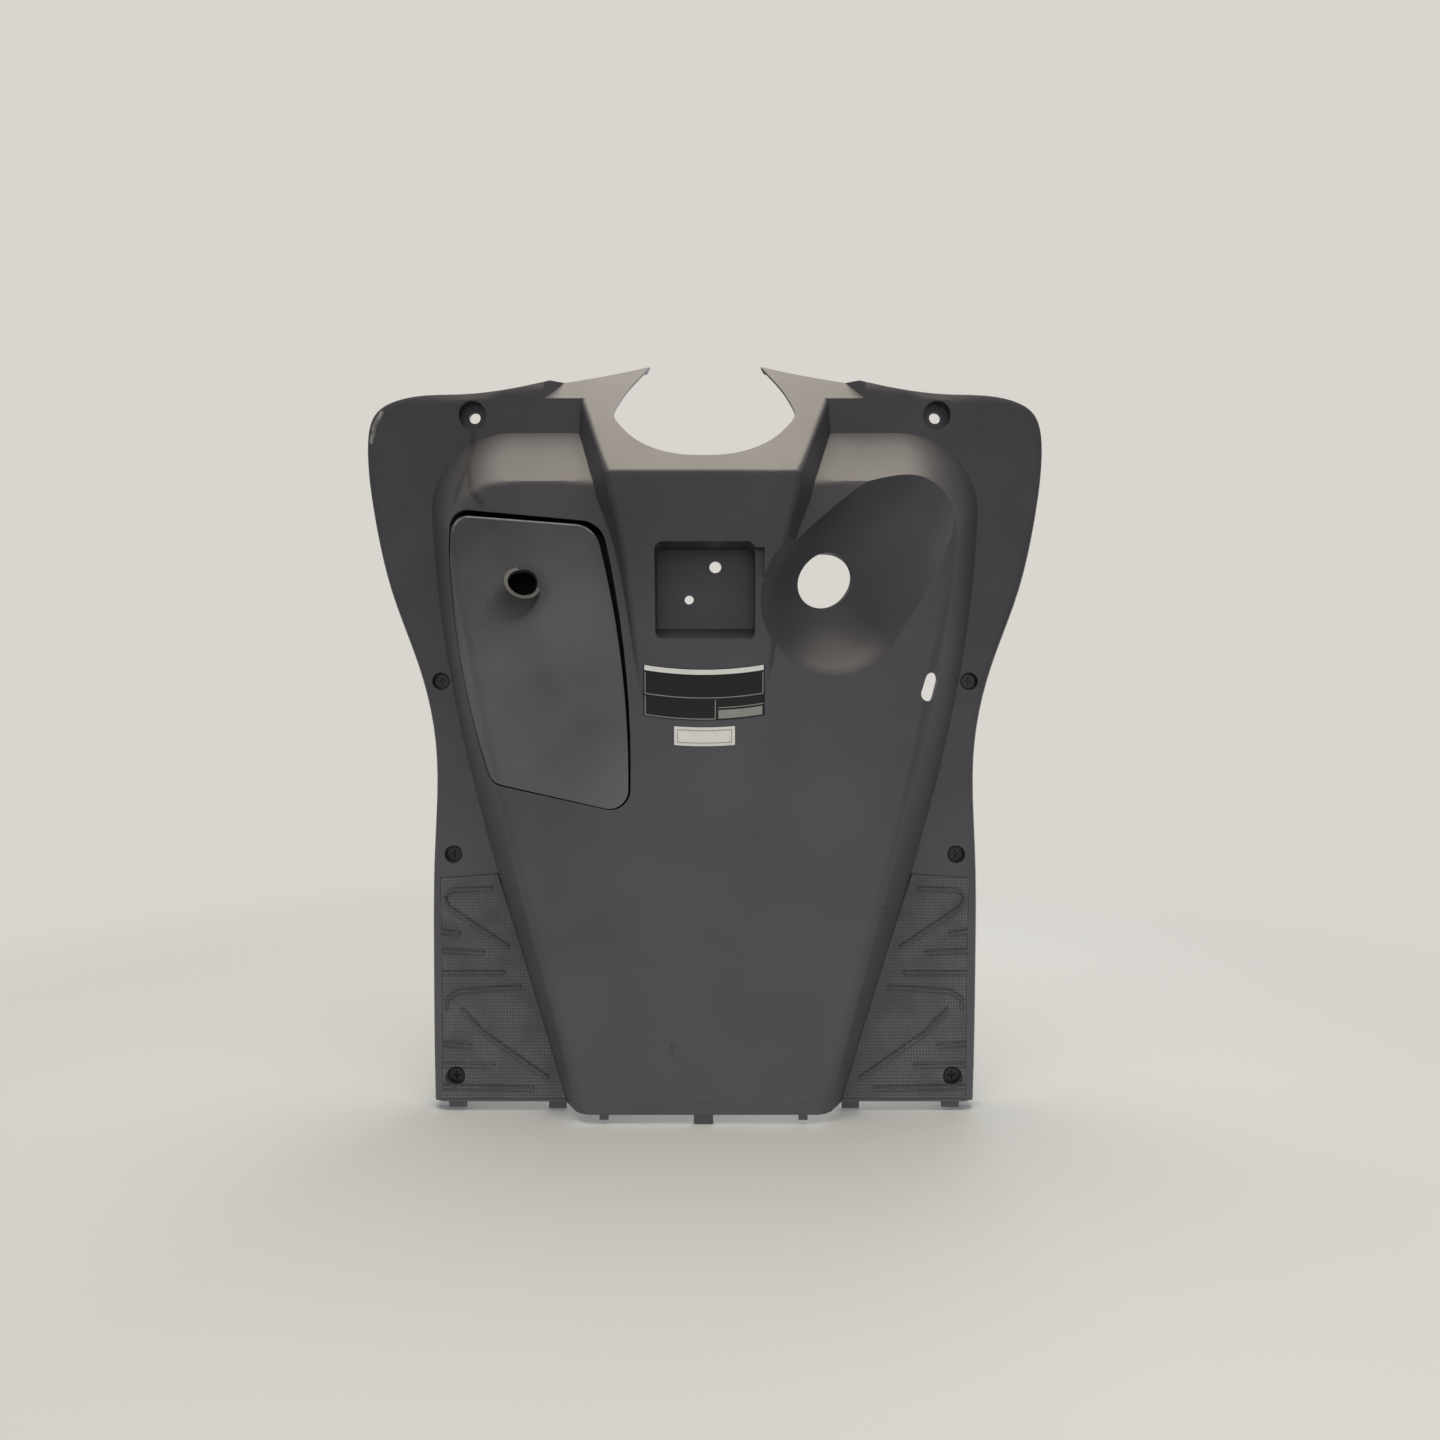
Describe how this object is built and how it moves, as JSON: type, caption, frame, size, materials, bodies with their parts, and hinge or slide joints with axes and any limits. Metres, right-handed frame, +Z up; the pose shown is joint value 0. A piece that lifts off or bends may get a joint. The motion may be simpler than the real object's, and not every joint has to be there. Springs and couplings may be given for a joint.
{
  "type": "scooter front fairing",
  "caption": "Inner leg shield of a motor scooter with a steering-column notch, a hinged glove-box lid with a bin behind it, a key-switch scoop, a hook recess and inset foot pads.",
  "frame": {"origin": "midway between the seats of the two upper bolts", "axes": "+X to the rider's right, -Y out of the panel towards the rider, +Z up along the mounted panel"},
  "size_m": [0.4954, 0.0973, 0.5377],
  "materials": {
    "panel_plastic": "fine-grained dark grey moulded plastic, lightly scuffed",
    "lid_plastic": "fine-grained dark grey moulded plastic",
    "bin_plastic": "smooth black moulded plastic",
    "pin_steel": "plain drawn steel",
    "bin_screw_steel": "zinc-plated steel",
    "screw_black": "black-coated steel",
    "pad_plastic": "dark grey plastic with a fine moulded grid"
  },
  "bodies": {
    "panel": {"leg_shield": "panel_plastic", "glove_box_bin": "bin_plastic", "lid_hinge_pin": "pin_steel", "bin_screws": "bin_screw_steel", "panel_screws": "screw_black", "left_foot_pad": "pad_plastic", "right_foot_pad": "pad_plastic"},
    "lid": {"glove_box_lid": "lid_plastic"}
  },
  "joints": [
    {"name": "lid_hinge", "type": "hinge", "parent": "panel", "child": "lid", "pos_m": [-0.10571, -0.0334, -0.301], "axis": [0.9751, 0, -0.2217], "range_deg": [0, 60]}
  ]
}
